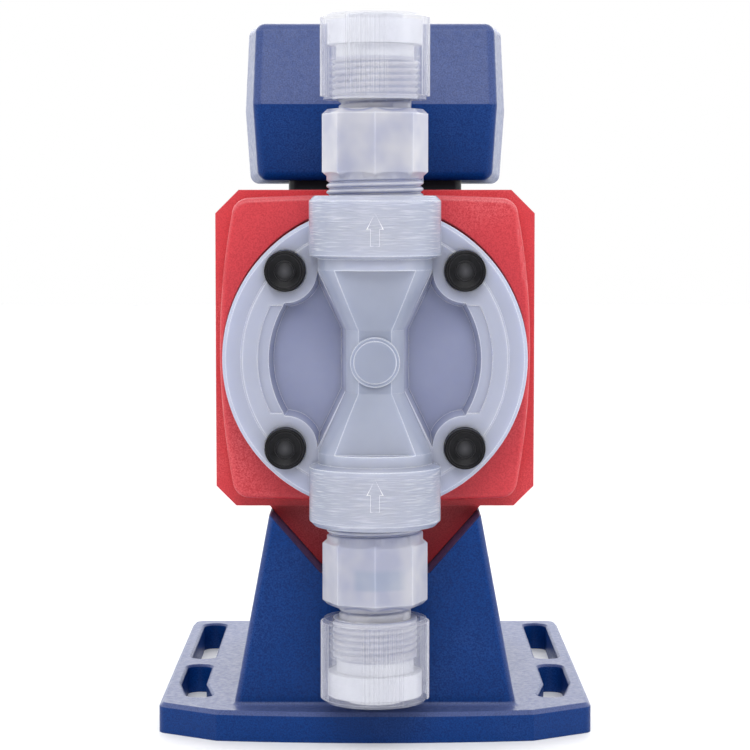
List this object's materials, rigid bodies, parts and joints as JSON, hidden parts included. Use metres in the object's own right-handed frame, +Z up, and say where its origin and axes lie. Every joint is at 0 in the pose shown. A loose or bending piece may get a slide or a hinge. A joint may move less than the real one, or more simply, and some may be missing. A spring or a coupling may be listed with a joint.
{
  "type": "diaphragm dosing pump",
  "caption": "Upright solenoid diaphragm dosing pump: milky liquid end with union nuts above and below, red front bracket, slotted blue base and control box.",
  "frame": {"origin": "centre of the bounding box, on the surface that the base stands on", "axes": "+X to the right as seen from the front, +Y from the liquid end towards the operator panel, +Z up along the ports"},
  "size_m": [0.1296, 0.1877, 0.2156],
  "materials": {
    "milky_plastic": "milky, slightly translucent, fine turning lines",
    "clear_plastic": "clear, smooth, ribbed patches",
    "red_plastic": "semi-matt with a fine moulded grain",
    "blue_plastic": "semi-matt with a fine moulded grain",
    "black_plastic": "matt",
    "white_plastic": "satin",
    "grey_plastic": "satin",
    "green_board": "satin",
    "display_glass": "polished",
    "lamp_lens": "polished, tinted",
    "clear_ball": "polished",
    "steel": "satin stainless steel",
    "soft_iron": "turned, plated",
    "copper": "enamelled winding wire",
    "rubber": "matt",
    "bronze": "satin",
    "spring_steel": "drawn wire"
  },
  "bodies": {
    "pump_body": {"base": "blue_plastic", "base_screws": "steel", "bobbin": "white_plastic", "bolt_caps": "black_plastic", "bracket_screws": "steel", "cable_gland": "black_plastic", "case_gasket": "rubber", "case_screws": "steel", "circuit_board": "green_board", "coil": "copper", "control_case_front": "blue_plastic", "control_case_rear": "blue_plastic", "cover_gasket": "rubber", "cover_screws": "steel", "diaphragm": "rubber", "discharge_ball_guide": "white_plastic", "discharge_ball_seat": "rubber", "discharge_gasket": "rubber", "discharge_nozzle": "white_plastic", "discharge_valve_body": "milky_plastic", "display_module": "grey_plastic", "display_window": "display_glass", "drive_cover": "blue_plastic", "drive_housing": "blue_plastic", "front_bracket": "red_plastic", "gland_nut": "black_plastic", "head_bolts": "steel", "head_washers": "steel", "neck_adapter": "black_plastic", "panel_overlay": "grey_plastic", "pump_head": "milky_plastic", "return_spring": "spring_steel", "shaft_bush": "bronze", "signal_sockets": "black_plastic", "socket_caps": "black_plastic", "solenoid_yoke": "soft_iron", "status_lamps": "lamp_lens", "suction_ball_guide": "white_plastic", "suction_ball_seat": "rubber", "suction_gasket": "rubber", "suction_nozzle": "white_plastic", "suction_valve_body": "milky_plastic", "yoke_ring": "soft_iron"},
    "plunger": {"plunger_shaft": "steel", "armature": "soft_iron", "diaphragm_insert": "steel"},
    "discharge_ball": {"discharge_ball": "clear_ball"},
    "suction_ball": {"suction_ball": "clear_ball"},
    "discharge_clamp": {"discharge_clamp_ring": "white_plastic"},
    "discharge_nut": {"discharge_union_nut": "clear_plastic"},
    "suction_clamp": {"suction_clamp_ring": "white_plastic"},
    "suction_nut": {"suction_union_nut": "clear_plastic"},
    "stroke_spindle": {"stroke_spindle": "steel"},
    "stroke_knob": {"stroke_knob": "black_plastic"},
    "start_key": {"start_key": "grey_plastic"},
    "stop_key": {"stop_key": "red_plastic"},
    "up_key": {"up_key": "grey_plastic"},
    "down_key": {"down_key": "grey_plastic"}
  },
  "joints": [
    {"name": "plunger_stroke", "type": "slide", "parent": "pump_body", "child": "plunger", "axis": [0, -1, 0], "range_m": [0, 0.0015], "stiffness_N_per_m": 2000, "deforming": ["diaphragm", "return_spring"]},
    {"name": "discharge_ball_lift", "type": "slide", "parent": "pump_body", "child": "discharge_ball", "axis": [0, 0, 1], "range_m": [0, 0.0015]},
    {"name": "suction_ball_lift", "type": "slide", "parent": "pump_body", "child": "suction_ball", "axis": [0, 0, 1], "range_m": [0, 0.0015]},
    {"name": "discharge_clamp_travel", "type": "slide", "parent": "pump_body", "child": "discharge_clamp", "axis": [0, 0, 1], "range_m": [0, 0.00909]},
    {"name": "discharge_nut_turn", "type": "hinge", "parent": "discharge_clamp", "child": "discharge_nut", "pos_m": [0, -0.07485, 0.2003], "axis": [0, 0, 1], "range_deg": [0, 1800]},
    {"name": "suction_clamp_travel", "type": "slide", "parent": "pump_body", "child": "suction_clamp", "axis": [0, 0, -1], "range_m": [0, 0.00456]},
    {"name": "suction_nut_turn", "type": "hinge", "parent": "suction_clamp", "child": "suction_nut", "pos_m": [0, -0.07485, 0.0264], "axis": [0, 0, -1], "range_deg": [0, 900]},
    {"name": "stroke_spindle_travel", "type": "slide", "parent": "pump_body", "child": "stroke_spindle", "axis": [0, -1, 0], "range_m": [0, 0.0015]},
    {"name": "stroke_knob_turn", "type": "hinge", "parent": "stroke_spindle", "child": "stroke_knob", "pos_m": [0, 0.06795, 0.113], "axis": [0, -1, 0], "range_deg": [0, 270]},
    {"name": "start_key_push", "type": "slide", "parent": "pump_body", "child": "start_key", "axis": [0, -0.9214, -0.3886], "range_m": [0, 0.0006], "stiffness_N_per_m": 400},
    {"name": "stop_key_push", "type": "slide", "parent": "pump_body", "child": "stop_key", "axis": [0, -0.9214, -0.3886], "range_m": [0, 0.0006], "stiffness_N_per_m": 400},
    {"name": "up_key_push", "type": "slide", "parent": "pump_body", "child": "up_key", "axis": [0, -0.9214, -0.3886], "range_m": [0, 0.0006], "stiffness_N_per_m": 400},
    {"name": "down_key_push", "type": "slide", "parent": "pump_body", "child": "down_key", "axis": [0, -0.9214, -0.3886], "range_m": [0, 0.0006], "stiffness_N_per_m": 400}
  ],
  "couplings": [
    {"joint": "discharge_clamp_travel", "follows": "discharge_nut_turn", "m_per_rad": 0.00028871},
    {"joint": "suction_clamp_travel", "follows": "suction_nut_turn", "m_per_rad": 0.00028871},
    {"joint": "stroke_spindle_travel", "follows": "stroke_knob_turn", "m_per_rad": 0.00031831}
  ]
}
